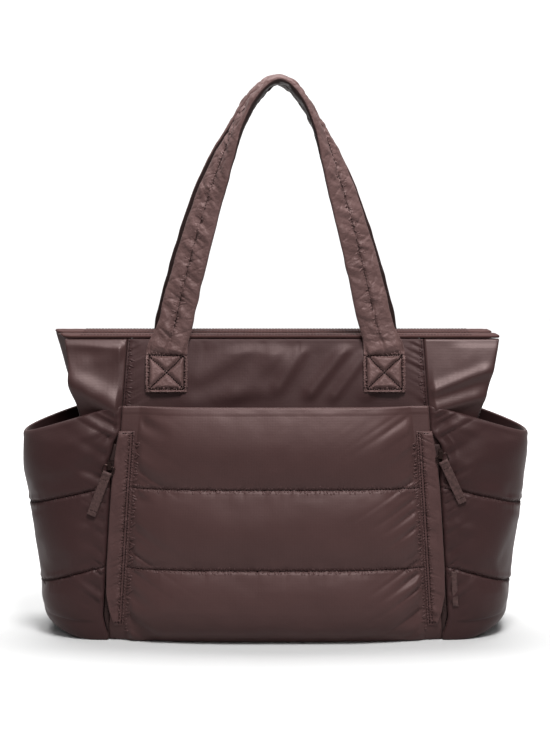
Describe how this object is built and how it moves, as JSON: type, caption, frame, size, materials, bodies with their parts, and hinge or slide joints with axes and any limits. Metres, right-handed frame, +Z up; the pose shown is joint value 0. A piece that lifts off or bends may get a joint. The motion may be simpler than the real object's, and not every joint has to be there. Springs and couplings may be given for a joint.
{
  "type": "puffer tote bag",
  "caption": "Padded tote bag with quilted slip pockets on its front and round both ends, zips beside the end pockets, a zipped top and tall padded handles.",
  "frame": {"origin": "on the floor, under the middle of the base", "axes": "+X to the right along the front as seen from the front, +Y from the front to the back, +Z up; the front pocket faces -Y"},
  "size_m": [0.5386, 0.1856, 0.5895],
  "materials": {
    "nylon": "satin dark brown nylon over padding",
    "zip_tape": "woven zip tape",
    "zip_metal": "dark coated metal",
    "pull_tape": "folded and stitched nylon tape"
  },
  "bodies": {
    "root": {"front_panel": "nylon", "back_panel": "nylon", "base_panel": "nylon", "front_pocket": "nylon", "side_panel_left": "nylon", "side_panel_right": "nylon", "side_pocket_left": "nylon", "side_pocket_right": "nylon", "zip_placket_left": "nylon", "zip_placket_right": "nylon", "closure_strip_front": "nylon", "closure_strip_back": "nylon", "handle_front": "nylon", "handle_back": "nylon", "side_zip_left": "zip_tape", "side_zip_right": "zip_tape", "closure_zip": "zip_tape", "side_zip_slider_left": "zip_metal", "side_zip_slider_right": "zip_metal", "side_zip_ring_left": "zip_metal", "side_zip_ring_right": "zip_metal", "closure_slider": "zip_metal", "closure_ring": "zip_metal", "side_zip_pull_left": "pull_tape", "side_zip_pull_right": "pull_tape", "closure_pull": "pull_tape", "seam_label": "pull_tape"}
  },
  "joints": []
}
